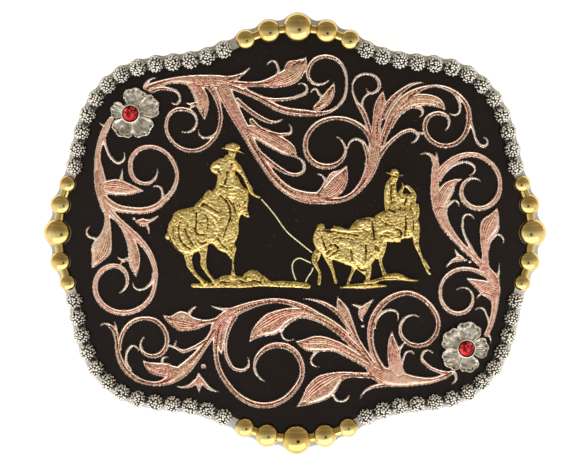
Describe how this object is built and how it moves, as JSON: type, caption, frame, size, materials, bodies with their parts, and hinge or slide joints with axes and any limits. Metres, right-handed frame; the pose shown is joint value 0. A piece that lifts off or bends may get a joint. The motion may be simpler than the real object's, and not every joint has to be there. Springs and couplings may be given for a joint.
{
  "type": "western belt buckle",
  "caption": "Bent oval-cornered western belt buckle with beaded edge, scroll overlays, roping figures, two set stones, a strap loop and a hook post.",
  "frame": {"origin": "on the table under the middle of the buckle, which lies on its back", "axes": "+X to the right of the face, +Y to the top edge of the face, +Z out of the face"},
  "size_m": [0.1022, 0.0892, 0.017],
  "materials": {
    "nickel": "nickel plated zinc alloy, satin",
    "black_enamel": "black enamel, satin",
    "gold": "polished gold plate",
    "silver": "bright silver plate with dark crevices",
    "copper": "rose copper plate, engraved, bright rims",
    "figure_gold": "yellow gold plate, darker in its recesses",
    "flower_silver": "matte silver plate with bright edges",
    "red_stone": "red foiled crystal, faceted"
  },
  "bodies": {
    "root": {"base_plate": "nickel", "enamel_field": "black_enamel", "bead_row_top": "gold", "bead_row_right": "gold", "bead_row_bottom": "gold", "bead_row_left": "gold", "berry_row_top_right": "silver", "berry_row_top_left": "silver", "berry_row_bottom_left": "silver", "berry_row_bottom_right": "silver", "scroll_top": "copper", "scroll_left": "copper", "scroll_bottom": "copper", "scroll_right": "copper", "bud_left": "copper", "bud_bottom_left": "copper", "bud_bottom_right": "copper", "bud_right": "copper", "heeler_figure": "figure_gold", "header_figure": "figure_gold", "lariat": "figure_gold", "flower_left": "flower_silver", "flower_right": "flower_silver", "stone_left": "red_stone", "stone_right": "red_stone", "belt_loop": "nickel", "belt_hook": "nickel"}
  },
  "joints": []
}
